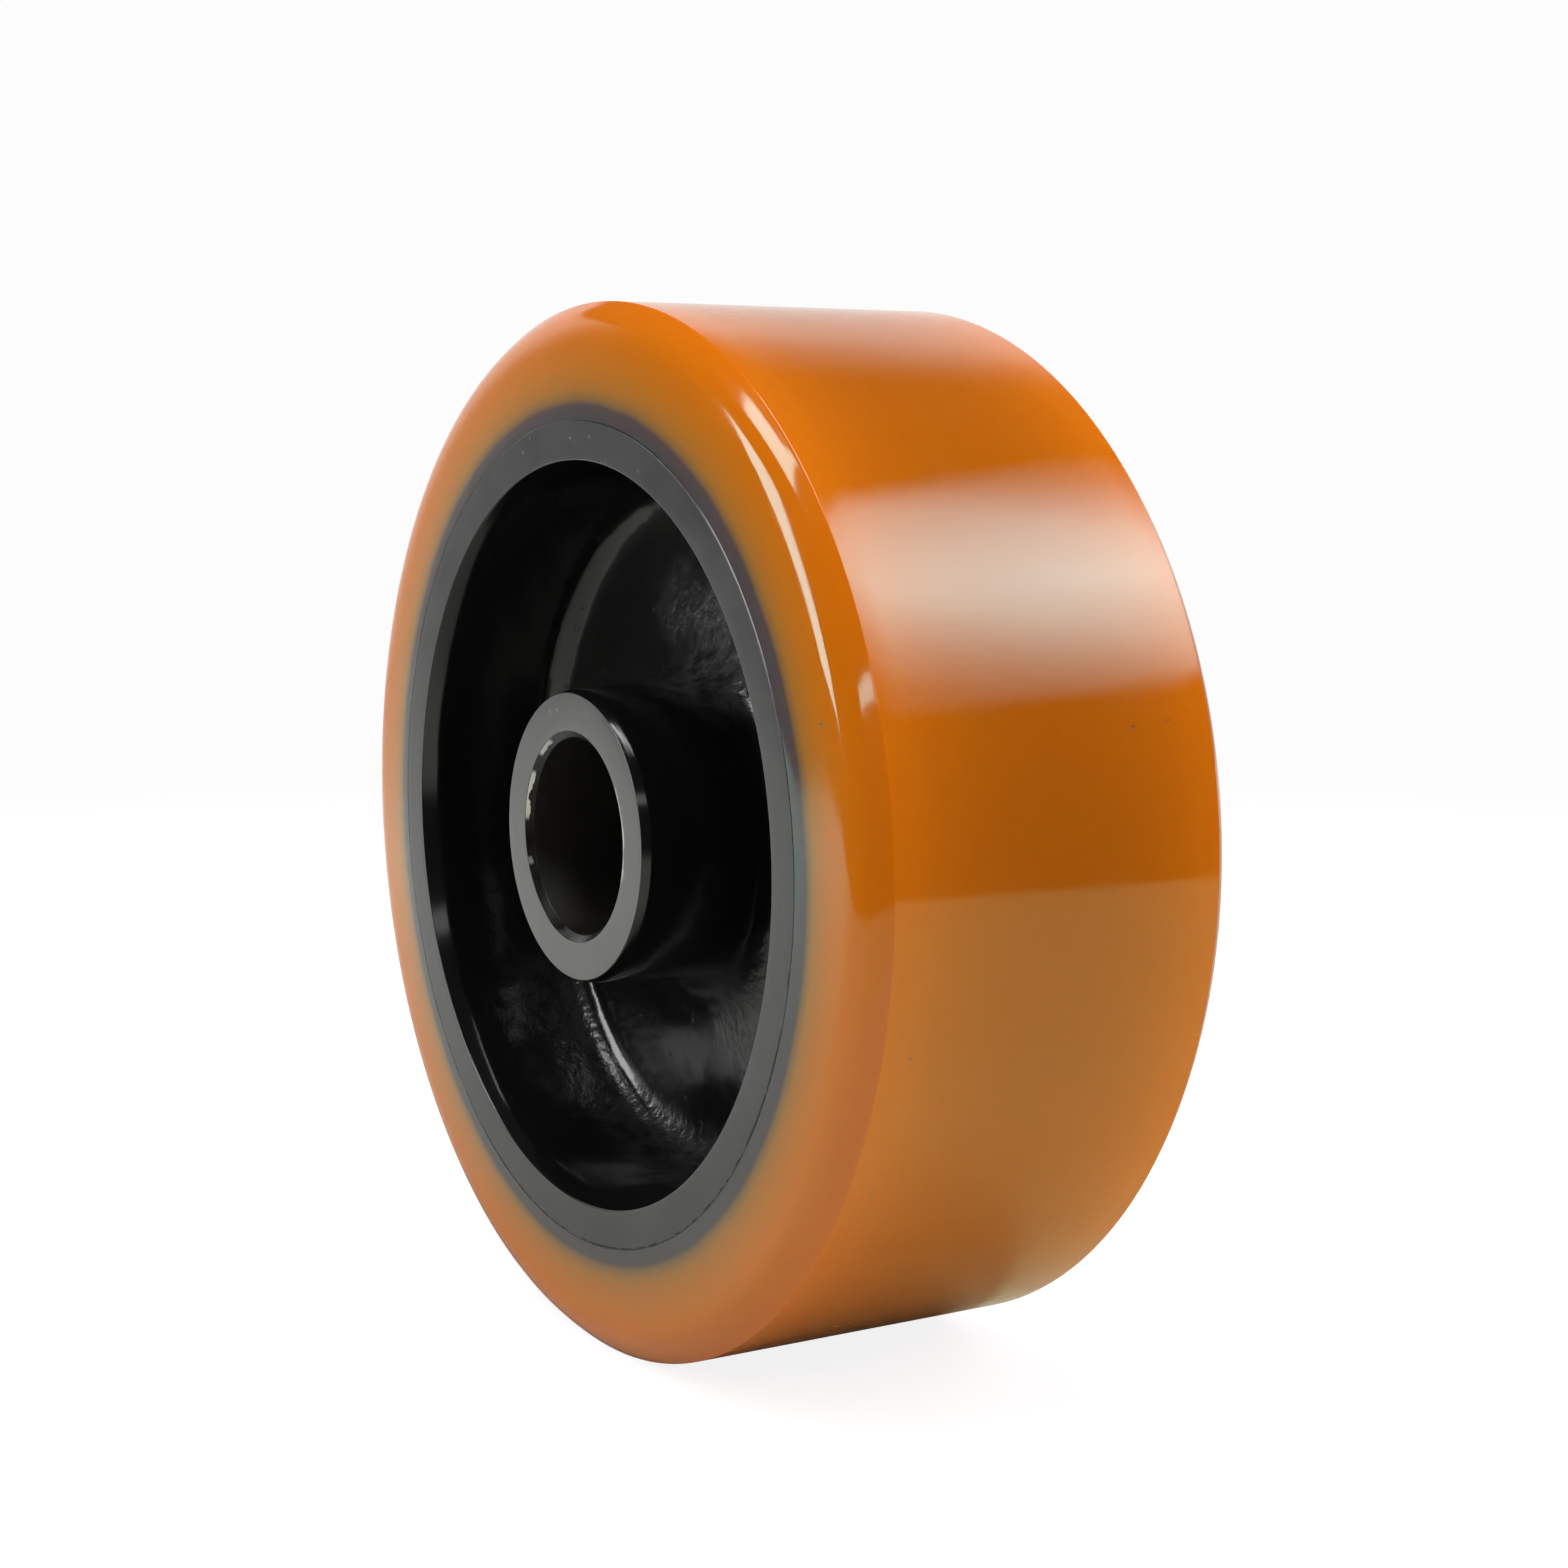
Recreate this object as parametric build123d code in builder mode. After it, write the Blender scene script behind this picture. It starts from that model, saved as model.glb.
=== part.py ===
from build123d import *
import math
import os

# Forklift wheel: a polyurethane tyre bonded to a one-piece cast iron wheel centre.
# The axle runs along Y and the origin is the middle of the wheel. Lengths are in millimetres.
# Each section is drawn with X as the radius and Y along the axle, for the half with Y above 0,
# then mirrored to the other half and turned about Y.

# Tyre
tyre_diameter = 250.0
tyre_thickness = 22.5  # from the bond on the rim to the tread
shoulder_depth = 4.7  # chamfer between side and tread, measured inwards from the tread
shoulder_width = 5.6  # the same chamfer, measured along the axle
shoulder_round = 12.0  # the large round that leads from the side into the chamfer
tread_round = 0.8  # the small round between chamfer and tread
side_fall = 1.2  # the side slopes back by this much between the rim and the shoulder

# Rim of the wheel centre
rim_width = 97.6
rim_wall = 15.4  # rim thickness at its mouth
bevel_depth = 5.1  # outer corner of the rim, under the tyre's lip, measured inwards
bevel_width = 2.0  # the same corner, measured along the axle
mouth_depth = 1.3  # lead-in at the rim's inner corner, measured outwards
mouth_width = 3.4  # the same lead-in, measured along the axle
rim_draft = 3.5  # degrees, the rim thickens towards the web

# Web
web_thickness = 22.0
rim_fillet = 8.0
barrel_fillet = 12.0

# Hub barrel
hub_length = 100.0
barrel_diameter = 69.6
barrel_draft = 3.4  # degrees, the barrel thickens towards the web
hub_chamfer_depth = 0.8  # outer corner of the barrel's end, measured inwards
hub_chamfer_width = 2.9  # the same corner, measured along the axle
bore_diameter = 47.0
bore_chamfer = 1.6  # lead-in at each mouth of the bore

# Radii and half widths worked out from the sizes above
tread_radius = tyre_diameter / 2
bond_radius = tread_radius - tyre_thickness
lip_radius = bond_radius - bevel_depth
mouth_radius = bond_radius - rim_wall
shoulder_radius = tread_radius - shoulder_depth
bore_radius = bore_diameter / 2
barrel_radius = barrel_diameter / 2
rim_half = rim_width / 2
web_half = web_thickness / 2
hub_half = hub_length / 2
mouth_y = rim_half - mouth_width
bond_y = rim_half - bevel_width
shoulder_y = rim_half - side_fall
tread_half = shoulder_y - shoulder_width
barrel_top_y = hub_half - hub_chamfer_width
rim_root_radius = mouth_radius - (mouth_y - web_half) * math.tan(math.radians(rim_draft))
barrel_root_radius = barrel_radius + (barrel_top_y - web_half) * math.tan(math.radians(barrel_draft))

# Wheel centre: hub barrel, web and rim in one casting.
# Both faces of the rim and both ends of the barrel are turned flat.
with BuildPart() as wheel_centre:
    with BuildSketch() as centre_section:
        with BuildLine():
            Polyline(
                (bore_radius, 0),
                (bore_radius, hub_half - bore_chamfer),
                (bore_radius + bore_chamfer, hub_half),
                (barrel_radius - hub_chamfer_depth, hub_half),
                (barrel_radius, barrel_top_y),
                (barrel_root_radius, web_half),
                (rim_root_radius, web_half),
                (mouth_radius, mouth_y),
                (mouth_radius + mouth_depth, rim_half),
                (lip_radius, rim_half),
                (bond_radius, bond_y),
                (bond_radius, 0),
                close=True,
            )
        make_face()
        fillet(centre_section.vertices().sort_by_distance((barrel_root_radius, web_half))[0], barrel_fillet)
        fillet(centre_section.vertices().sort_by_distance((rim_root_radius, web_half))[0], rim_fillet)
        mirror(about=Plane.XZ)
    revolve(axis=Axis.Y)
wheel_centre.part.label = "wheel_centre"

# Tyre: its bore follows the rim and the rim's bevelled corners, so that a thin lip covers them.
with BuildPart() as tyre:
    with BuildSketch() as tyre_section:
        with BuildLine():
            Polyline(
                (bond_radius, 0),
                (bond_radius, bond_y),
                (lip_radius, rim_half),
                (shoulder_radius, shoulder_y),
                (tread_radius, tread_half),
                (tread_radius, 0),
                close=True,
            )
        make_face()
        fillet(tyre_section.vertices().sort_by_distance((shoulder_radius, shoulder_y))[0], shoulder_round)
        fillet(tyre_section.vertices().sort_by_distance((tread_radius, tread_half))[0], tread_round)
        mirror(about=Plane.XZ)
    revolve(axis=Axis.Y)
tyre.part.label = "tyre"

os.makedirs("parts", exist_ok=True)
export_step(wheel_centre.part, "parts/wheel_centre.step")
export_step(tyre.part, "parts/tyre.step")
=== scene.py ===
import math

import bmesh
import bpy
from mathutils import Matrix, Vector


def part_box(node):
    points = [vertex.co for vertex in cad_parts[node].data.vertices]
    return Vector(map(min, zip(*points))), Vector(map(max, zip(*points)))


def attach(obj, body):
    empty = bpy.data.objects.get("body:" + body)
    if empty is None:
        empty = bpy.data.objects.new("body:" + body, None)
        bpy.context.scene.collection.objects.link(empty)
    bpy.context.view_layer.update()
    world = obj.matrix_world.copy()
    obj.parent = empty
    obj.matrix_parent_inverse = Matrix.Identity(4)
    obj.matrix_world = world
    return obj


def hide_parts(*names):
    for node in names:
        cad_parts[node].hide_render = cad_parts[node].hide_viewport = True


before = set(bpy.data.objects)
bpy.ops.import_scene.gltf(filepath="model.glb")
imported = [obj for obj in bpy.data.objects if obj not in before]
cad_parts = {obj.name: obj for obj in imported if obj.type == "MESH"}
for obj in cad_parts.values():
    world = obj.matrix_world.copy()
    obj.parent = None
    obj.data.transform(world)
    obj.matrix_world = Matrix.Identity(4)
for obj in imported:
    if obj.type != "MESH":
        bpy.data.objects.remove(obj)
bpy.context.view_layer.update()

# Forklift wheel. The axle runs along Y and the wheel's middle is the origin. Lengths are in metres.
MM = 0.001
TO_DEGREES = 180 / math.pi

# Tyre section: radii, and distances from the middle plane
TREAD_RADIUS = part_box("tyre")[1].z
TREAD_HALF = 42.0 * MM
TREAD_ROUND = 0.22 * MM
SHOULDER_RADIUS = TREAD_RADIUS - 4.7 * MM
SHOULDER_Y = 47.6 * MM
SHOULDER_ROUND = 12.0 * MM
BOND_RADIUS = 102.5 * MM
BOND_Y = 46.8 * MM
LIP_RADIUS = 97.4 * MM
TYRE_LIP_ROUND = 0.05 * MM

# Wheel centre section
RIM_Y = 48.8 * MM
RIM_LIP_ROUND = 0.12 * MM
RIM_INNER_RADIUS = 88.4 * MM
RIM_INNER_ROUND = 0.5 * MM
MOUTH_RADIUS = 87.1 * MM
MOUTH_Y = 45.4 * MM
LEAD_IN_RADIUS = MOUTH_RADIUS - 0.27 * MM
LEAD_IN_Y = MOUTH_Y - 0.7 * MM
LEAD_IN_ROUND = 11.0 * MM
WEB_Y = 11.0 * MM
RIM_DRAFT = math.radians(3.5)
RIM_ROOT_RADIUS = MOUTH_RADIUS - (MOUTH_Y - WEB_Y) * math.tan(RIM_DRAFT)
RIM_FILLET = 8.0 * MM
BARREL_RADIUS = 34.76 * MM
BARREL_TOP_Y = 47.7 * MM
BARREL_TOP_ROUND = 2.5 * MM
BARREL_DRAFT = math.radians(3.4)
BARREL_ROOT_RADIUS = BARREL_RADIUS + (BARREL_TOP_Y - WEB_Y) * math.tan(BARREL_DRAFT)
BARREL_FILLET = 12.0 * MM
HUB_Y = 50.0 * MM
HUB_FACE_RADIUS = 34.0 * MM
HUB_FACE_ROUND = 0.3 * MM
BORE_MOUTH_RADIUS = 25.1 * MM
BORE_MOUTH_ROUND = 0.25 * MM
BORE_RADIUS = 23.5 * MM
BORE_ROUND = 0.03 * MM
BORE_CHAMFER_Y = 48.4 * MM

# How finely the sections are drawn and turned
TURNS = 352
HIDDEN_STEP = 12 * MM
PLAIN_STEP = 6 * MM
FACE_STEP = 3 * MM
CAST_STEP = 1.5 * MM
CHAMFER_STEP = 1 * MM
TAPER_STEP = 0.7 * MM
ROUND_STEPS = 3  # the fewest on a rounding
ROUND_STEP_DEGREES = 9  # the longest of them
SECTION_WELD = 0.004 * MM
LATHE_WELD = 0.001 * MM
SMOOTH_BELOW = math.radians(35)


# Shaping
def add_primitive(operator, name, **settings):
    bpy.ops.object.select_all(action="DESELECT")
    operator(**settings)
    bpy.context.object.name = name
    return bpy.context.object


def draw_run(to, step):
    """Draws on from the last point of the section in a straight run, in equal steps no longer than step."""
    mesh = bmesh.from_edit_mesh(bpy.context.object.data)
    here = next(v.co.copy() for v in mesh.verts if v.select)
    run = Vector((to.x, to.y, 0)) - here
    count = max(1, math.ceil(run.length / step))
    for _ in range(count):
        bpy.ops.mesh.extrude_region_move(TRANSFORM_OT_translate={"value": run / count})


def draw_round(before, corner, after, radius, step):
    """Draws a run up to a rounded corner, then turns the last point about the rounding's centre."""
    back = (before - corner).normalized()
    ahead = (after - corner).normalized()
    half = back.angle(ahead) / 2
    centre = corner + (back + ahead).normalized() * radius / math.sin(half)
    first = corner + back * radius / math.tan(half)
    last = corner + ahead * radius / math.tan(half)
    draw_run(first, step)
    a, b = first - centre, last - centre
    turn = a.angle(b)
    way = -1 if a.x * b.y - a.y * b.x > 0 else 1
    steps = max(ROUND_STEPS, math.ceil(turn * radius / step), math.ceil(math.degrees(turn) / ROUND_STEP_DEGREES))
    bpy.ops.mesh.spin(steps=steps, angle=way * turn, center=(centre.x, centre.y, 0), axis=(0, 0, 1), dupli=False)


def turned_ring(name, corners):
    """A ring turned about Y. corners draw the half section: radius, distance from the middle, rounding, and the
    longest step on the way there."""
    ring = add_primitive(bpy.ops.mesh.primitive_plane_add, name, size=MM)
    bpy.ops.object.mode_set(mode="EDIT")
    bpy.ops.mesh.merge(type="CENTER")
    bpy.ops.transform.translate(value=(corners[0][0], corners[0][1], 0))
    points = [Vector(c[:2]) for c in corners]
    for i in range(1, len(corners)):
        radius, step = corners[i][2:]
        if radius:
            draw_round(points[i - 1], points[i], points[i + 1], radius, step)
        else:
            draw_run(points[i], step)
    bpy.ops.mesh.select_all(action="SELECT")
    bpy.ops.mesh.duplicate()
    bpy.ops.transform.mirror(constraint_axis=(False, True, False), center_override=(0, 0, 0))
    bpy.ops.mesh.select_all(action="SELECT")
    bpy.ops.mesh.remove_doubles(threshold=SECTION_WELD)
    bpy.ops.object.mode_set(mode="OBJECT")
    lathe = ring.modifiers.new("lathe", "SCREW")
    lathe.axis = "Y"
    lathe.angle = 2 * math.pi
    lathe.steps = lathe.render_steps = TURNS
    lathe.use_merge_vertices = True
    lathe.merge_threshold = LATHE_WELD
    bpy.ops.object.modifier_apply(modifier="lathe")
    bpy.ops.object.mode_set(mode="EDIT")
    bpy.ops.mesh.select_all(action="SELECT")
    bpy.ops.mesh.remove_doubles(threshold=LATHE_WELD)
    bpy.ops.mesh.normals_make_consistent(inside=False)
    bpy.ops.object.mode_set(mode="OBJECT")
    return ring


tyre = turned_ring("tyre_cast", [
    (BOND_RADIUS, 0, 0, 0),
    (BOND_RADIUS, BOND_Y, 0, HIDDEN_STEP),
    (LIP_RADIUS, RIM_Y, TYRE_LIP_ROUND, HIDDEN_STEP),
    (SHOULDER_RADIUS, SHOULDER_Y, SHOULDER_ROUND, FACE_STEP),
    (TREAD_RADIUS, TREAD_HALF, TREAD_ROUND, CHAMFER_STEP),
    (TREAD_RADIUS, 0, 0, PLAIN_STEP),
])
centre = turned_ring("centre_casting", [
    (BORE_RADIUS, 0, 0, 0),
    (BORE_RADIUS, BORE_CHAMFER_Y, BORE_ROUND, PLAIN_STEP),
    (BORE_MOUTH_RADIUS, HUB_Y, BORE_MOUTH_ROUND, CHAMFER_STEP),
    (HUB_FACE_RADIUS, HUB_Y, HUB_FACE_ROUND, FACE_STEP),
    (BARREL_RADIUS, BARREL_TOP_Y, BARREL_TOP_ROUND, TAPER_STEP),
    (BARREL_ROOT_RADIUS, WEB_Y, BARREL_FILLET, CAST_STEP),
    (RIM_ROOT_RADIUS, WEB_Y, RIM_FILLET, CAST_STEP),
    (LEAD_IN_RADIUS, LEAD_IN_Y, LEAD_IN_ROUND, CAST_STEP),
    (RIM_INNER_RADIUS, RIM_Y, RIM_INNER_ROUND, TAPER_STEP),
    (LIP_RADIUS, RIM_Y, RIM_LIP_ROUND, FACE_STEP),
    (BOND_RADIUS, BOND_Y, 0, HIDDEN_STEP),
    (BOND_RADIUS, 0, 0, HIDDEN_STEP),
])


def roughen_casting(piece, name, size, height, depth):
    """Lifts and sinks the cast skin in the recess by a cloud pattern. The turned faces and edges stay true."""
    clouds = bpy.data.textures.new(name, "CLOUDS")
    clouds.noise_scale = size
    clouds.noise_depth = depth
    clouds.noise_basis = "ORIGINAL_PERLIN"
    lift = piece.modifiers.new(name, "DISPLACE")
    lift.texture = clouds
    lift.texture_coords = "LOCAL"
    lift.direction = "NORMAL"
    lift.mid_level = 0.5
    lift.strength = height
    lift.vertex_group = "cast_skin"
    bpy.context.view_layer.objects.active = piece
    bpy.ops.object.modifier_apply(modifier=name)


# The cast skin: every surface between these two radii, fading out towards the barrel's end and the rim's mouth
SKIN_INNER, SKIN_OUTER = BARREL_RADIUS - 1 * MM, BOND_RADIUS - 10 * MM
FADE_AT_BARREL, FADE_AT_MOUTH = 3 * MM, 4 * MM
skin = centre.vertex_groups.new(name="cast_skin")
for v in centre.data.vertices:
    radius, away = math.hypot(v.co.x, v.co.z), abs(v.co.y)
    weight = min((BARREL_TOP_Y - away) / FADE_AT_BARREL, (MOUTH_Y - away) / FADE_AT_MOUTH, 1)
    if weight > 0 and SKIN_INNER < radius < SKIN_OUTER:
        skin.add([v.index], weight, "REPLACE")
roughen_casting(centre, "cast_waves", size=14 * MM, height=0.35 * MM, depth=1)
roughen_casting(centre, "cast_bumps", size=4 * MM, height=0.16 * MM, depth=2)
for piece in (tyre, centre):
    bpy.ops.object.select_all(action="DESELECT")
    piece.select_set(True)
    bpy.context.view_layer.objects.active = piece
    bpy.ops.object.shade_smooth_by_angle(angle=SMOOTH_BELOW)


# Materials
class Nodes:
    """Adds and links the nodes of one tree."""

    def __init__(self, tree):
        self.tree = tree

    def add(self, kind, **settings):
        node = self.tree.nodes.new(kind)
        for key, value in settings.items():
            setattr(node, key, value)
        return node

    def link(self, source, target):
        self.tree.links.new(source, target)

    def feed(self, socket, value):
        if isinstance(value, bpy.types.NodeSocket):
            self.link(value, socket)
        elif isinstance(value, tuple) and len(value) == 3 and socket.type == "RGBA":
            socket.default_value = (*value, 1.0)
        else:
            socket.default_value = value

    def end(self, shader, output="ShaderNodeOutputMaterial"):
        self.link(shader.outputs[0], self.add(output).inputs[0])

    def maths(self, operation, *values):
        node = self.add("ShaderNodeMath", operation=operation)
        for socket, value in zip(node.inputs, values):
            self.feed(socket, value)
        return node.outputs[0]

    def chain(self, operation, first, *others):
        for other in others:
            first = self.maths(operation, first, other)
        return first

    def times(self, *values):
        return self.chain("MULTIPLY", *values)

    def plus(self, *values):
        return self.chain("ADD", *values)

    def minus(self, a, b):
        return self.maths("SUBTRACT", a, b)

    def most(self, a, b):
        return self.maths("MAXIMUM", a, b)

    def swing(self, noise, reach):
        """A noise from 0 to 1 made to swing about 0."""
        return self.times(self.minus(noise, 0.5), reach)

    def distance(self, a, b):
        return self.maths("SQRT", self.plus(self.times(a, a), self.times(b, b)))

    def split(self, vector):
        node = self.add("ShaderNodeSeparateXYZ")
        self.link(vector, node.inputs[0])
        return node.outputs

    def object_coords(self):
        return self.add("ShaderNodeTexCoord").outputs["Object"]

    def rays(self):
        """The kinds of light ray, such as Is Camera Ray, each 1 or 0."""
        return self.add("ShaderNodeLightPath").outputs

    def ease(self, value, low, high, to_low=0.0, to_high=1.0, kind="SMOOTHSTEP"):
        node = self.add("ShaderNodeMapRange", clamp=True, interpolation_type=kind)
        for key, number in zip(("Value", "From Min", "From Max", "To Min", "To Max"),
                               (value, low, high, to_low, to_high)):
            self.feed(node.inputs[key], number)
        return node.outputs[0]

    def noise(self, vector, scale, detail, roughness=0.5):
        node = self.add("ShaderNodeTexNoise")
        for key, value in zip(("Vector", "Scale", "Detail", "Roughness"), (vector, scale, detail, roughness)):
            self.feed(node.inputs[key], value)
        return node.outputs["Fac"]

    def mix(self, factor, a, b, blend="MIX"):
        node = self.add("ShaderNodeMix", data_type="RGBA", blend_type=blend)
        self.feed(node.inputs[0], factor)
        self.feed(node.inputs[6], a)
        self.feed(node.inputs[7], b)
        return node.outputs[2]

    def stops(self, value, colours):
        """Colour ramp over value; colours are (place, colour), from the lowest place to the highest."""
        low, high = colours[0][0], colours[-1][0]
        node = self.add("ShaderNodeValToRGB")
        self.link(self.ease(value, low, high, kind="LINEAR"), node.inputs[0])
        elements = node.color_ramp.elements
        while len(elements) < len(colours):
            elements.new(0.5)
        for element, (place, _) in zip(elements, colours):
            element.position = (place - low) / (high - low)
        for element, (_, colour) in zip(elements, colours):
            element.color = (*colour, 1.0)
        return node.outputs[0]

    def relief(self, shader, height, strength, distance):
        """Bumps the shader's surface: a height of 1 stands up by distance."""
        bump = self.add("ShaderNodeBump")
        self.feed(bump.inputs["Strength"], strength)
        self.feed(bump.inputs["Distance"], distance)
        self.link(height, bump.inputs["Height"])
        self.link(bump.outputs[0], shader.inputs["Normal"])


def new_material(name):
    material = bpy.data.materials.new(name)
    material.use_nodes = True
    material.node_tree.nodes.clear()
    return material, Nodes(material.node_tree)


def new_finish(name):
    material, n = new_material(name)
    shader = n.add("ShaderNodeBsdfPrincipled")
    n.end(shader)
    return material, n, shader


def about_axle(n):
    """Object coordinates, distance from the axle, and distance from the middle plane."""
    coords = n.object_coords()
    x, y, z = n.split(coords)
    return coords, n.distance(x, z), n.maths("ABSOLUTE", y)


def angle_about_axle(n, coords, lowest=0.0):
    """Degrees from lowest on to a whole turn: 0 is at the left of the front face as the camera sees it, and 90 at
    the bottom."""
    x, _, z = n.split(coords)
    degrees = n.times(n.maths("ARCTAN2", n.times(z, -1), n.times(x, -1)), TO_DEGREES)
    return n.maths("WRAP", degrees, lowest + 360.0, lowest)


def arc(n, angle, start, end, soft):
    """1 on a stretch of the circle from start to end, 0 elsewhere. Each end is soft for this many degrees a side."""
    return n.times(n.ease(angle, start - soft, start + soft), n.ease(angle, end - soft, end + soft, 1, 0))


def drawn_round(n, radius, angle):
    """A pattern stretched round the axle, as a cutting tool leaves it."""
    marks_per_degree, marks_per_metre = 0.11, 500
    stretched = n.add("ShaderNodeCombineXYZ")
    n.link(n.times(angle, marks_per_degree), stretched.inputs[0])
    n.link(n.times(radius, marks_per_metre), stretched.inputs[1])
    return n.noise(stretched.outputs[0], scale=1.0, detail=2)


NUMBER, VECTOR = "NodeSocketFloat", "NodeSocketVector"


def effect(name, inputs, output):
    """A node group for an effect that several finishes share; inputs are (name, kind, value). Gives the tree, its
    nodes, the given inputs and the socket for the result."""
    tree = bpy.data.node_groups.new(name, "ShaderNodeTree")
    for label, kind, value in inputs:
        socket = tree.interface.new_socket(label, in_out="INPUT", socket_type=kind)
        if value is not None:
            socket.default_value = value
    tree.interface.new_socket(output, in_out="OUTPUT", socket_type=NUMBER)
    n = Nodes(tree)
    return tree, n, n.add("NodeGroupInput").outputs, n.add("NodeGroupOutput").inputs[output]


def place(n, tree, **values):
    """Puts a shared effect into a finish with the finish's own values."""
    node = n.add("ShaderNodeGroup", node_tree=tree)
    for key, value in values.items():
        n.feed(node.inputs[key], value)
    return node.outputs[0]


# Small scattered marks: pits, grit and specks. Share is how many of the cells hold one.
flecks, n, given, result = effect("flecks", (("Coords", VECTOR, None), ("Scale", NUMBER, 400.0),
                                             ("Size", NUMBER, 0.2), ("Share", NUMBER, 0.1)), "Mask")
cells = n.add("ShaderNodeTexVoronoi", feature="F1")
n.link(given["Coords"], cells.inputs["Vector"])
n.link(given["Scale"], cells.inputs["Scale"])
uneven = n.plus(cells.outputs["Distance"], n.swing(n.noise(given["Coords"], scale=2500, detail=2), 0.35))
spot = n.ease(uneven, n.times(given["Size"], 0.6), given["Size"], 1, 0)
tone = n.add("ShaderNodeSeparateColor")
n.link(cells.outputs["Color"], tone.inputs[0])
n.link(n.times(spot, n.maths("LESS_THAN", tone.outputs[0], given["Share"])), result)

# Uneven edge: a wavering length to add to a radius, so that a border isn't a perfect circle
waver, n, given, result = effect("waver", (("Coords", VECTOR, None), ("Scale", NUMBER, 90.0),
                                           ("Reach", NUMBER, MM)), "Length")
n.link(n.swing(n.noise(given["Coords"], scale=given["Scale"], detail=3), given["Reach"]), result)

# The tyre's colour on its side, by the distance from the axle in mm. The rim shows darkly through the thin lip.
SIDE_COLOURS = (
    (97.0, (0.063, 0.0515, 0.056)), (101.2, (0.071, 0.0515, 0.051)), (102.6, (0.19, 0.100, 0.034)),
    (104.5, (0.29, 0.124, 0.022)), (107.0, (0.35, 0.128, 0.014)), (111.0, (0.41, 0.130, 0.007)),
    (116.0, (0.45, 0.124, 0.003)), (120.0, (0.45, 0.115, 0.001)), (122.5, (0.45, 0.111, 0.001)),
    (125.0, (0.45, 0.111, 0.001)))
# Painted shade on the tread: how bright it is painted, by the distance from the middle plane in mm, darker towards
# the middle and brighter towards the edges
TREAD_PAINTED_SHADE = ((0.0, 0.68), (12.0, 0.70), (22.0, 0.76), (30.0, 0.84), (37.0, 0.95), (42.0, 1.0))
PIT_COLOUR = (0.05, 0.018, 0.004)


def cast_polyurethane():
    material, n, shader = new_finish("cast_polyurethane")
    coords, radius, away = about_axle(n)
    depth = n.plus(radius, place(n, waver, Coords=coords, Scale=90, Reach=0.9 * MM))
    # The amber begins nearer to the axle towards -X: a painted shift that stands in for the slanted view through the
    # thin lip
    across = n.split(coords)[0]
    depth = n.plus(depth, n.ease(across, -100 * MM, 100 * MM, 0.95 * MM, -0.35 * MM, kind="LINEAR"))
    side = n.stops(depth, [(at * MM, colour) for at, colour in SIDE_COLOURS])
    # Painted shade: the tread is painted darker towards its middle
    tread = n.stops(away, [(at * MM, (tone, tone, tone)) for at, tone in TREAD_PAINTED_SHADE])
    whole = n.mix(1.0, side, tread, blend="MULTIPLY")
    pits = place(n, flecks, Coords=coords, Scale=75, Size=0.028, Share=0.12)
    n.link(n.mix(pits, whole, PIT_COLOUR), shader.inputs["Base Color"])
    film = n.noise(coords, scale=55, detail=3)
    n.link(n.plus(n.ease(film, 0.35, 0.7, 0.055, 0.11), n.times(pits, 0.4)), shader.inputs["Roughness"])
    n.relief(shader, n.minus(n.noise(coords, scale=130, detail=2), pits), strength=0.25, distance=0.1 * MM)
    shader.inputs["IOR"].default_value = 1.56
    shader.inputs["Specular Tint"].default_value = (0.52, 1.0, 0.88, 1.0)
    shader.inputs["Subsurface Weight"].default_value = 0.5
    shader.inputs["Subsurface Radius"].default_value = (1.0, 0.35, 0.08)
    shader.inputs["Subsurface Scale"].default_value = 5 * MM
    return material


PAINT_BLACK = (0.0036, 0.0036, 0.0036)
# The grey painted on the rough places as a painted sheen
SHEEN_GREY = (0.040, 0.041, 0.040)
# Rough places in the cast skin: middle and reach in mm, and how much painted sheen they get, paler paint standing in
# for the light they catch
ROUGH_PLACES = (
    ((8, -12, 45), 28, 1.0), ((-18, -11, 53), 20, 0.35), ((20, -13, -42), 25, 0.42),
    ((38, 26, 40), 32, 0.5), ((-45, 26, -30), 30, 0.35))
FOOT_PAINTED_SHEEN = 0.28


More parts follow.
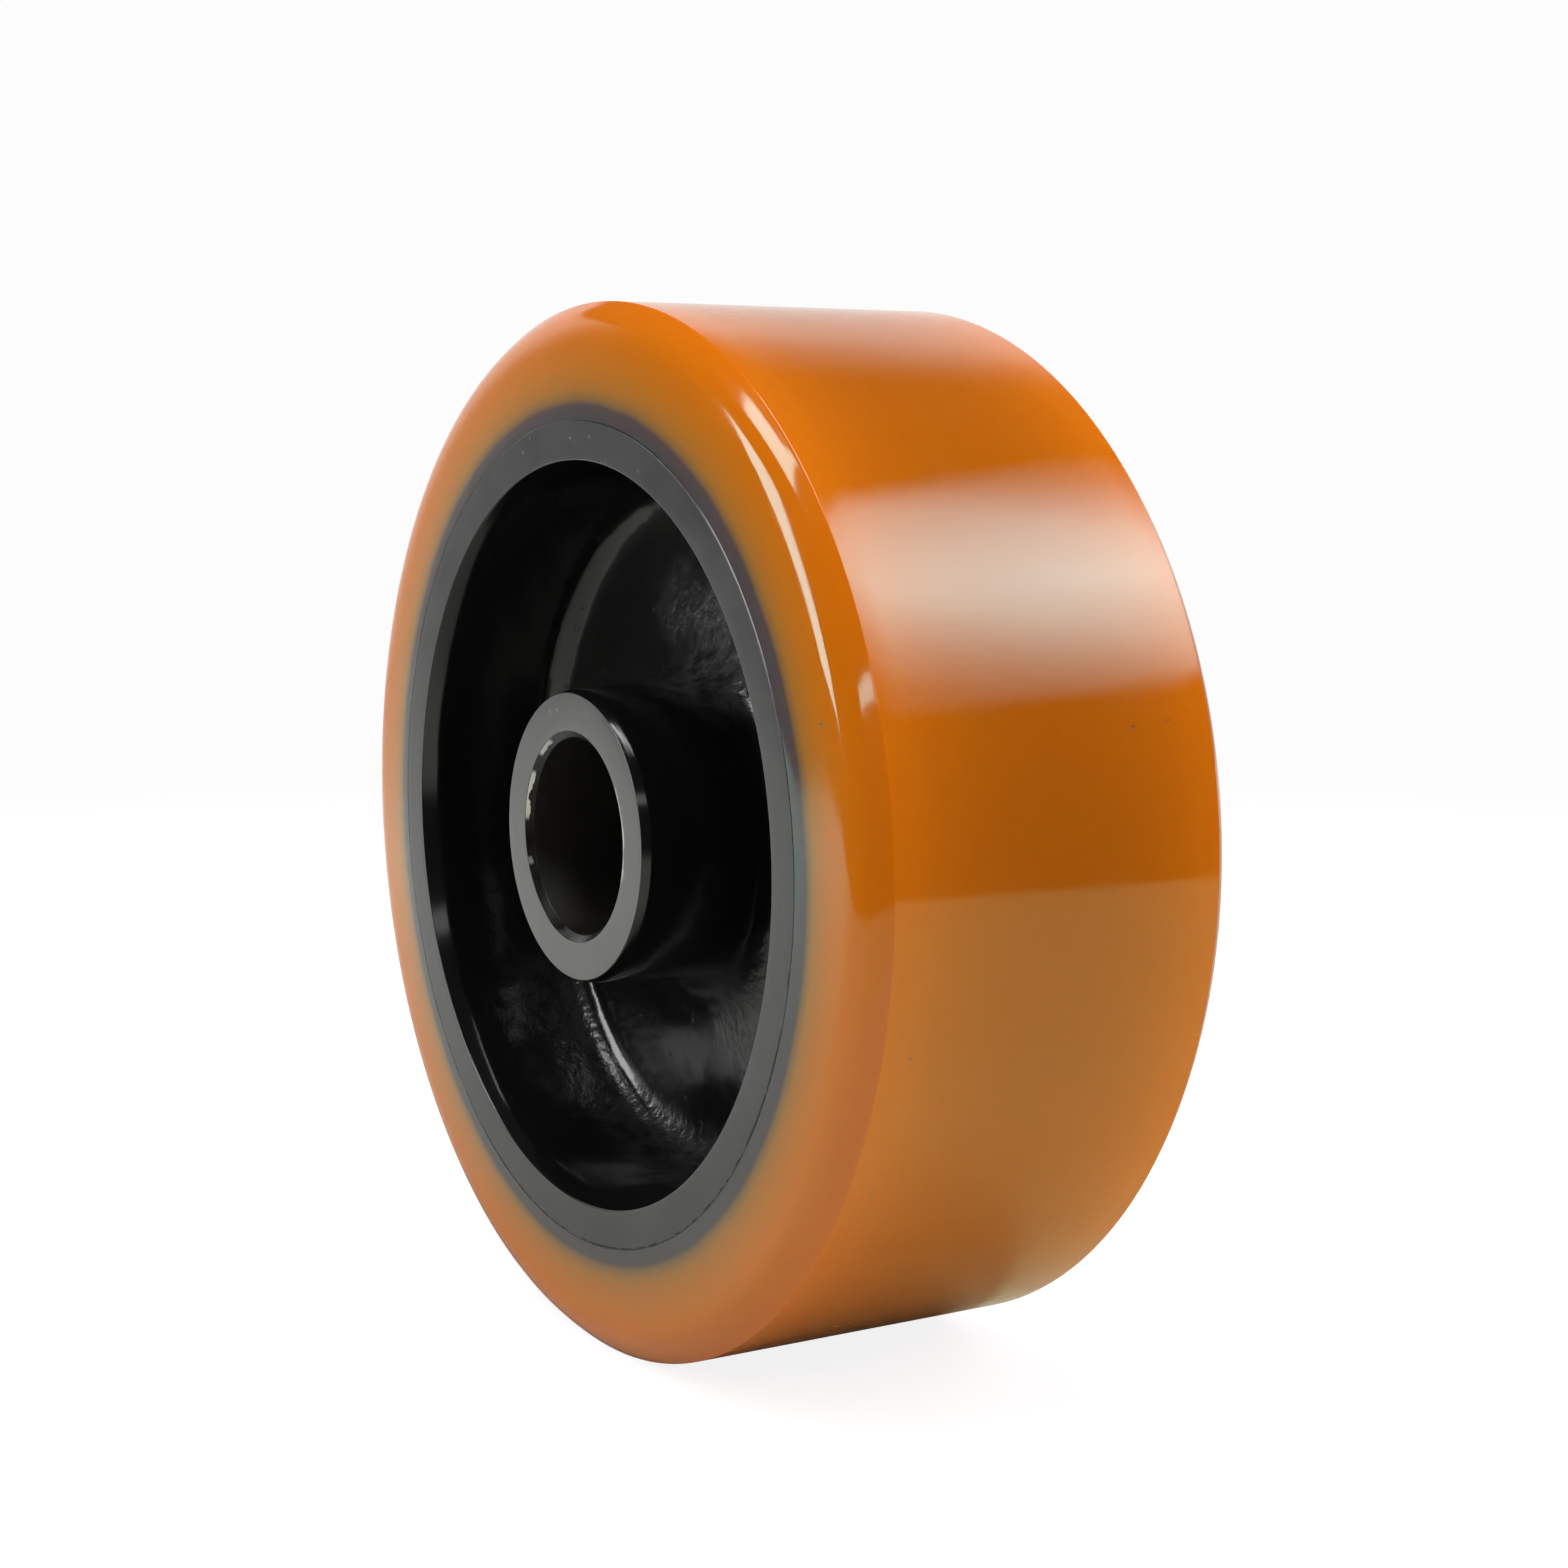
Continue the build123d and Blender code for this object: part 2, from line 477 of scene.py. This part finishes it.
def gloss_paint_over_casting():
    material, n, shader = new_finish("gloss_paint_over_casting")
    coords, radius, away = about_axle(n)
    angle = angle_about_axle(n, coords)
    uneven = place(n, waver, Coords=coords, Scale=60, Reach=22 * MM)
    rough = painted_sheen = 0.0
    for middle, reach, sheen_level in ROUGH_PLACES:
        gap = n.add("ShaderNodeVectorMath", operation="DISTANCE")
        n.link(coords, gap.inputs[0])
        gap.inputs[1].default_value = Vector(middle) * MM
        here = n.ease(n.plus(gap.outputs["Value"], uneven), reach * 0.3 * MM, reach * MM, 1, 0)
        rough = n.most(rough, here)
        painted_sheen = n.most(painted_sheen, n.times(here, sheen_level))
    # The foot of the rim's wall is rough towards the bottom, along a narrow band and then a wide one, and painted
    # paler there as a painted sheen along its broken highlight
    narrow = n.times(n.ease(radius, 82.2 * MM, 83.4 * MM), arc(n, angle, 30, 74, soft=8))
    wide = n.times(n.ease(n.plus(radius, n.times(uneven, 0.5)), 72 * MM, 80 * MM), arc(n, angle, 66, 112, soft=12))
    foot = n.times(n.most(narrow, wide), n.ease(away, 20 * MM, 32 * MM, 1, 0))
    rough = n.most(rough, foot)
    painted_sheen = n.most(painted_sheen, n.times(foot, FOOT_PAINTED_SHEEN))
    # Painted sheen: the rough places are painted paler in patches, standing in for the light they catch
    mottled_sheen = n.times(painted_sheen, n.ease(n.noise(coords, scale=260, detail=3, roughness=0.6), 0.35, 0.62, 0.2, 1.0))
    n.link(n.mix(mottled_sheen, PAINT_BLACK, SHEEN_GREY), shader.inputs["Base Color"])
    n.link(n.ease(rough, 0, 1, 0.13, 0.26), shader.inputs["Roughness"])
    pebbles = n.swing(n.noise(coords, scale=430, detail=2), n.ease(rough, 0, 1, 0.10, 1.6))
    orange_peel = n.swing(n.noise(coords, scale=1100, detail=2), 0.10)
    grit = n.times(place(n, flecks, Coords=coords, Scale=260, Size=0.26, Share=0.08), 0.3)
    # The relief dies away towards the turned edges
    strength = n.ease(away, 42 * MM, 46 * MM, 0.8, 0.05)
    n.relief(shader, n.plus(pebbles, n.plus(orange_peel, grit)), strength, distance=0.25 * MM)
    shader.inputs["IOR"].default_value = 1.5
    return material


RIM_TONES = (0.090, 0.093, 0.090), (0.107, 0.110, 0.107)
HUB_TONES = (0.134, 0.137, 0.133), (0.158, 0.161, 0.156)
# A painted highlight along the lip line
LINE_PAINTED_HIGHLIGHT = (0.27, 0.27, 0.26)
DULL_LINE = (0.018, 0.017, 0.016)
WORN_SPECK = (0.30, 0.30, 0.29)
# Painted glint on the bare nicks at the bore's edge
NICK_GLINT = (0.46, 0.46, 0.44)


def turned_iron():
    material, n, shader = new_finish("turned_iron")
    coords, radius, _ = about_axle(n)
    angle = angle_about_axle(n, coords)
    rings = n.add("ShaderNodeTexNoise", noise_dimensions="1D")
    n.link(n.times(radius, 2600), rings.inputs["W"])
    rings.inputs["Scale"].default_value = 1.0
    cloud = n.noise(coords, scale=45, detail=4, roughness=0.6)
    tone = n.plus(n.times(rings.outputs["Fac"], 0.25), n.times(cloud, 0.75))
    rim_tone = n.mix(n.ease(tone, 0.35, 0.65), *RIM_TONES)
    hub_tone = n.mix(n.ease(tone, 0.35, 0.65), *HUB_TONES)
    colour = n.mix(n.ease(radius, 40 * MM, 60 * MM), hub_tone, rim_tone)
    # The line at the lip has a painted highlight at the upper right, where it catches the light, and is dull and
    # broken along the bottom
    edge = n.plus(radius, place(n, waver, Coords=coords, Scale=300, Reach=0.30 * MM))
    line = n.times(n.ease(edge, LIP_RADIUS - 0.42 * MM, LIP_RADIUS - 0.25 * MM),
                   n.ease(radius, LIP_RADIUS + 0.3 * MM, LIP_RADIUS + 0.5 * MM, 1, 0))
    broken = n.ease(n.noise(coords, scale=380, detail=2), 0.44, 0.52)
    lit = n.times(line, arc(n, angle, 200, 252, soft=8), n.ease(broken, 0, 1, 0.5, 1))
    dull = n.times(line, arc(n, angle, 32, 172, soft=8), broken)
    colour = n.mix(lit, colour, LINE_PAINTED_HIGHLIGHT)
    colour = n.mix(dull, colour, DULL_LINE)
    # Specks worn bright at the top
    rubbed = place(n, flecks, Coords=coords, Scale=520, Size=0.34, Share=0.22)
    where = n.times(arc(n, angle, 248, 292, soft=8), n.ease(n.noise(coords, scale=120, detail=2), 0.46, 0.60))
    worn = n.times(rubbed, where)
    colour = n.mix(worn, colour, WORN_SPECK)
    # Nicks along the right of the bore's edge, painted bright: bare metal with a painted glint of the light the edge
    # catches
    nick = n.ease(drawn_round(n, radius, angle), 0.36, 0.60, 0.25 * MM, 0.75 * MM)
    glinting_nicks = n.ease(n.minus(radius, nick), BORE_MOUTH_RADIUS - 0.02 * MM, BORE_MOUTH_RADIUS + 0.08 * MM, 1, 0)
    colour = n.mix(n.times(glinting_nicks, arc(n, angle, 163, 211, soft=4)), colour, NICK_GLINT)
    n.link(colour, shader.inputs["Base Color"])
    shader.inputs["Metallic"].default_value = 0.85
    n.link(n.ease(tone, 0.3, 0.7, 0.27, 0.34), shader.inputs["Roughness"])
    n.relief(shader, n.plus(rings.outputs["Fac"], worn), strength=0.12, distance=0.05 * MM)
    return material


BORE_DARK = (0.010, 0.009, 0.008)
HALF_BARE = (0.058, 0.058, 0.055)
BARE = (0.090, 0.091, 0.088)
# A painted reflection of light inside the bore
BORE_PAINTED_LIGHT = (0.030, 0.029, 0.027)
# Painted glint on the bare burrs
BURR_GLINT = (0.50, 0.50, 0.47)


def bored_iron():
    material, n, shader = new_finish("bored_iron")
    coords, radius, away = about_axle(n)
    angle = angle_about_axle(n, coords)
    near_left = angle_about_axle(n, coords, lowest=-180.0)
    streaks = n.noise(coords, scale=200, detail=3)
    lead_in = n.ease(radius, BORE_RADIUS + 0.02 * MM, BORE_RADIUS + 0.06 * MM)
    ragged = n.plus(angle, n.swing(n.noise(coords, scale=330, detail=3), 40))
    # Paint has run over the lead-in, and left it half bare at the top and bare at the bottom
    base = n.mix(n.times(lead_in, arc(n, angle, 262, 318, soft=26)), BORE_DARK, HALF_BARE)
    base = n.mix(n.times(lead_in, arc(n, ragged, 76, 102, soft=5)), base, BARE)
    # The wall is painted paler at the lower left, near the mouth: a painted reflection of the light inside the bore
    painted_light = n.times(arc(n, angle, 30, 66, soft=16), n.ease(away, 36 * MM, 48 * MM))
    base = n.mix(n.times(painted_light, n.ease(lead_in, 0, 1, 1, 0)), base, BORE_PAINTED_LIGHT)
    # Bare burrs stand on the lead-in at the left, painted bright as a painted glint of the light their edge catches
    burr_width = n.ease(drawn_round(n, radius, angle), 0.36, 0.58, 0.40 * MM, 0.95 * MM)
    burr_glint = n.ease(n.plus(radius, burr_width), BORE_MOUTH_RADIUS + 0.02 * MM, BORE_MOUTH_RADIUS + 0.10 * MM)
    left = n.most(arc(n, near_left, -62, -47, soft=2), arc(n, near_left, -33, -4, soft=2))
    left = n.most(left, n.times(arc(n, near_left, 18, 22, soft=1), 0.5))
    n.link(n.mix(n.times(left, burr_glint), base, BURR_GLINT), shader.inputs["Base Color"])
    n.link(n.times(lead_in, 0.7), shader.inputs["Metallic"])
    n.link(n.ease(streaks, 0.35, 0.7, 0.28, 0.42), shader.inputs["Roughness"])
    n.relief(shader, n.plus(streaks, burr_glint), strength=0.3, distance=0.08 * MM)
    return material


tyre.data.materials.append(cast_polyurethane())
for finish in (gloss_paint_over_casting(), turned_iron(), bored_iron()):
    centre.data.materials.append(finish)
TURNED, BORED = 1, 2  # material slots; every face starts in the paint's, 0
FLAT = 0.97  # how far a flat face's normal points along the axle, at least
SLACK = 0.1 * MM
for face in centre.data.polygons:
    radius, away = math.hypot(face.center.x, face.center.z), abs(face.center.y)
    on_hub = away > HUB_Y - SLACK
    on_rim = away > RIM_Y - SLACK and radius > RIM_INNER_RADIUS
    if radius < BORE_MOUTH_RADIUS - SLACK:
        face.material_index = BORED
    elif abs(face.normal.y) > FLAT and (on_hub or on_rim):
        face.material_index = TURNED
for piece, node, slot in ((tyre, "tyre", "polyurethane"), (centre, "wheel_centre", "iron")):
    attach(piece, "root")
    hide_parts(node)

# Camera
CAMERA_PLACE = (0.58441, -0.34998, 0.08777)
AZIMUTH, PITCH = math.radians(58.467), math.radians(6.554)
right = Vector((math.cos(AZIMUTH), math.sin(AZIMUTH), 0))
level = Vector((-math.sin(AZIMUTH), math.cos(AZIMUTH), 0))
forward = level * math.cos(PITCH) - Vector((0, 0, math.sin(PITCH)))
axes = Matrix((right, right.cross(forward), -forward)).transposed()
camera = bpy.data.objects.new("camera", bpy.data.cameras.new("camera"))
bpy.context.scene.collection.objects.link(camera)
camera.data.sensor_width = 36.0
camera.data.lens = 64.248
camera.matrix_world = Matrix.Translation(CAMERA_PLACE) @ axes.to_4x4()
bpy.context.scene.camera = camera


# Studio
def show_only_in(piece, glossy, diffuse):
    """The camera doesn't see this piece of the studio, and it casts no shadow."""
    piece.visible_camera = False
    piece.visible_glossy = glossy
    piece.visible_diffuse = diffuse
    piece.visible_transmission = False
    piece.visible_volume_scatter = False
    piece.visible_shadow = False


world = bpy.data.worlds.new("studio")
bpy.context.scene.world = world
world.use_nodes = True
world.node_tree.nodes.clear()
n = Nodes(world.node_tree)
background = n.add("ShaderNodeBackground")
background.inputs["Color"].default_value = (1, 1, 1, 1)
rays = n.rays()
seen_directly = n.most(n.most(rays["Is Camera Ray"], rays["Is Glossy Ray"]), rays["Is Transmission Ray"])
n.link(n.ease(seen_directly, 0, 1, 0.28, 0.975), background.inputs["Strength"])
n.end(background, "ShaderNodeOutputWorld")

# The table is cut off where the studio goes dark: a point on each edge, and the way out across it
TABLE_Z = -0.125
TABLE_SIZE = 12.0
TABLE_EDGES = (((0.737, 0.516, TABLE_Z), (0.819, 0.574, 0)), ((0.43, -0.62, TABLE_Z), (0.207, -0.978, 0)))


def pale_table():
    """White to the camera. Reflections see it painted with light and shade: darker close to the wheel's front left,
    with a warm painted tint beside the wheel and a tint to the lower right, a painted glow far to the left, and dark
    far to the right. Matt surfaces get its bounced light, less of it from close in front of the wheel, where a
    painted shadow lies."""
    material, n = new_material("pale_table")
    x, y, _ = n.split(n.object_coords())
    rays = n.rays()
    reach = n.distance(x, y)
    far = n.ease(reach, 0.35, 1.3)
    # Painted light and shade that reflections see on the table
    front = n.mix(n.ease(x, -0.1, 0.1), (0.38, 0.38, 0.36), (0.50, 0.50, 0.44))
    low_right = n.times(n.ease(y, -0.20, -0.35), n.ease(x, 0.05, 0.20))
    front = n.mix(low_right, front, (0.50, 0.50, 0.32))
    front = n.mix(n.ease(x, 0.45, 0.90), front, (0.10, 0.10, 0.10))
    beside = n.times(n.ease(y, -0.05, 0.02), n.ease(x, -0.1, 0.1),
                     n.ease(n.minus(y, n.times(x, 0.85)), -0.02, 0.08, 1, 0))
    reflected = n.mix(beside, front, (0.60, 0.60, 0.31))
    # Painted shadow for bounced light close in front of the wheel
    shaded = n.times(n.ease(y, -0.03, -0.10), n.ease(reach, 0.5, 0.15))
    bounced = n.mix(shaded, (0.90, 0.90, 0.875), (0.42, 0.42, 0.405))
    seen = n.mix(far, (0.26, 0.26, 0.26), (0.0, 0.0, 0.0))
    matt = n.add("ShaderNodeBsdfDiffuse")
    colour = n.mix(rays["Is Camera Ray"], n.mix(rays["Is Glossy Ray"], bounced, reflected), seen)
    n.link(colour, matt.inputs["Color"])
    glow = n.add("ShaderNodeEmission")
    # A painted glow on the table far to the left, seen only in reflections
    n.link(n.plus(n.times(rays["Is Glossy Ray"], n.ease(x, -0.1, -0.9, 0.0, 0.58)),
                  n.times(rays["Is Camera Ray"], n.ease(far, 0, 1, 0.86, 0.975))), glow.inputs["Strength"])
    both = n.add("ShaderNodeAddShader")
    n.link(matt.outputs[0], both.inputs[0])
    n.link(glow.outputs[0], both.inputs[1])
    n.end(both)
    material.cycles.emission_sampling = "NONE"
    return material


floor = add_primitive(bpy.ops.mesh.primitive_plane_add, "floor", size=TABLE_SIZE, location=(0, 0, TABLE_Z))
bpy.ops.object.mode_set(mode="EDIT")
for point, outward in TABLE_EDGES:
    bpy.ops.mesh.select_all(action="SELECT")
    bpy.ops.mesh.bisect(plane_co=point, plane_no=outward, clear_outer=True)
bpy.ops.object.mode_set(mode="OBJECT")
floor.data.materials.append(pale_table())

MATT_SHARE = 0.55  # how much of a panel's light falls on matt surfaces


def direction(azimuth, elevation):
    a, e = math.radians(azimuth), math.radians(elevation)
    return Vector((math.sin(a) * math.cos(e), -math.cos(a) * math.cos(e), math.sin(e)))


def softbox(name, middle, facing, wide, high, radiance, edge=(0.06, 0.06), fall=0.0, colour=(1, 1, 1), glossy=True):
    """A bright panel at middle, wide and high in metres, level along its width. facing is the way from the wheel to
    the panel that it is square to, edge is its soft border at the ends and along its length, fall is how much it
    darkens away from its middle, and glossy is whether reflections show it."""
    panel = add_primitive(bpy.ops.mesh.primitive_plane_add, name, size=2.0)
    panel.rotation_mode = "QUATERNION"
    panel.rotation_quaternion = facing.to_track_quat("Z", "Y")
    panel.scale = (wide / 2, high / 2, 1)
    panel.location = middle
    material, n = new_material(name)
    x, y = (n.maths("ABSOLUTE", part) for part in n.split(n.object_coords())[:2])
    strength = n.times(n.ease(x, 1 - edge[0], 1, radiance, 0, kind="LINEAR"), n.ease(y, 1 - edge[1], 1, 1, 0))
    if fall:
        strength = n.times(strength, n.ease(n.distance(x, y), 0, 1, 1, 1 - fall, kind="LINEAR"))
    glow = n.add("ShaderNodeEmission")
    n.link(n.times(strength, n.ease(n.rays()["Is Diffuse Ray"], 0, 1, 1, MATT_SHARE)), glow.inputs["Strength"])
    n.feed(glow.inputs["Color"], colour)
    n.end(glow)
    panel.data.materials.append(material)
    show_only_in(panel, glossy=glossy, diffuse=True)


def square_on(name, azimuth, elevation, wide, high, distance, radiance, seen_from=(0, 0, 0), **looks):
    """A softbox square to a place on the wheel, given in mm; wide and high are in degrees as that place sees it."""
    towards = direction(azimuth, elevation)
    size = [2 * distance * math.tan(math.radians(v / 2)) for v in (wide, high)]
    softbox(name, Vector(seen_from) * MM + towards * distance, towards, *size, radiance, **looks)


# Places on the tyre's shoulder, in mm, that the side lights are square to
SHOULDER_HIGH = (80, -45, 95)
SHOULDER_MIDDLE = (97, -47, 68)
square_on("window_light", azimuth=143, elevation=41.5, wide=44, high=37, distance=1.6, radiance=8.4,
          edge=(0.72, 0.22), fall=0.75, colour=(0.97, 1.0, 1.10))
square_on("tall_side_light", azimuth=-32.5, elevation=14, wide=15, high=28, distance=1.4, radiance=8.0,
          seen_from=SHOULDER_MIDDLE)
square_on("tube_light", azimuth=-25.5, elevation=15, wide=1.2, high=24, distance=1.3, radiance=14.0,
          seen_from=SHOULDER_MIDDLE, edge=(0.3, 0.1))
square_on("high_side_light", azimuth=-15.5, elevation=54.8, wide=20, high=14.5, distance=1.4, radiance=9.0,
          seen_from=SHOULDER_HIGH)
straight_up = Vector((0, 0, 1))
softbox("overhead_light", Vector((0.21, 0.15, 1.4)), straight_up, wide=0.82, high=0.49, radiance=15.0,
        edge=(0.12, 0.02))
# These three light matt surfaces only
softbox("soft_top_light", Vector((0.1, -0.33, 1.4)), straight_up, wide=0.9, high=0.45, radiance=6.2, glossy=False)
from_left = direction(-45, 22)
softbox("soft_left_light", from_left * 1.05 + Vector((-0.1, 0, 0)), from_left, wide=0.5, high=0.5, radiance=5.2,
        glossy=False)
from_right = direction(82, 6)
softbox("soft_right_light", from_right * 1.3, from_right, wide=0.6, high=0.5, radiance=3.0, glossy=False)
# Strip along the right-hand wall, dimmer beyond its near end
wall = direction(80, 0)
along = direction(-10, 0)
strip_height = Vector((0, 0, 0.735))
softbox("strip_near", wall * 1.2 + along * 1.24 + strip_height, wall, wide=0.68, high=0.15, radiance=6.5,
        edge=(0.02, 0.02))
softbox("strip_far", wall * 1.2 + along * 0.225 + strip_height, wall, wide=1.35, high=0.22, radiance=1.9)


def dark_backdrop():
    """The room is dark. Behind the wheel its white backdrop shows, with soft borders."""
    material, n = new_material("dark_room")
    x, y, z = n.split(n.object_coords())
    azimuth = n.times(n.maths("ARCTAN2", x, n.times(y, -1)), TO_DEGREES)
    elevation = n.times(n.maths("ARCTAN2", z, n.distance(x, y)), TO_DEGREES)
    top = n.ease(azimuth, -90, -139, 27, 36, kind="LINEAR")
    fade = n.ease(azimuth, -90, -139, 3, 16, kind="LINEAR")
    opening = n.times(n.ease(azimuth, -58, -78), n.ease(azimuth, -160, -138),
                      n.ease(n.maths("DIVIDE", n.minus(elevation, top), fade), 0, 1, 1, 0))
    glow = n.add("ShaderNodeEmission")
    n.link(n.ease(opening, 0, 1, 0.05, 0.88, kind="LINEAR"), glow.inputs["Strength"])
    n.end(glow)
    material.cycles.emission_sampling = "NONE"
    return material


# Dark room round the table, seen only in reflections
room = add_primitive(bpy.ops.mesh.primitive_uv_sphere_add, "dark_room", segments=96, ring_count=48, radius=3.0)
room.data.materials.append(dark_backdrop())
show_only_in(room, glossy=True, diffuse=False)

bpy.context.scene.view_settings.view_transform = "Standard"
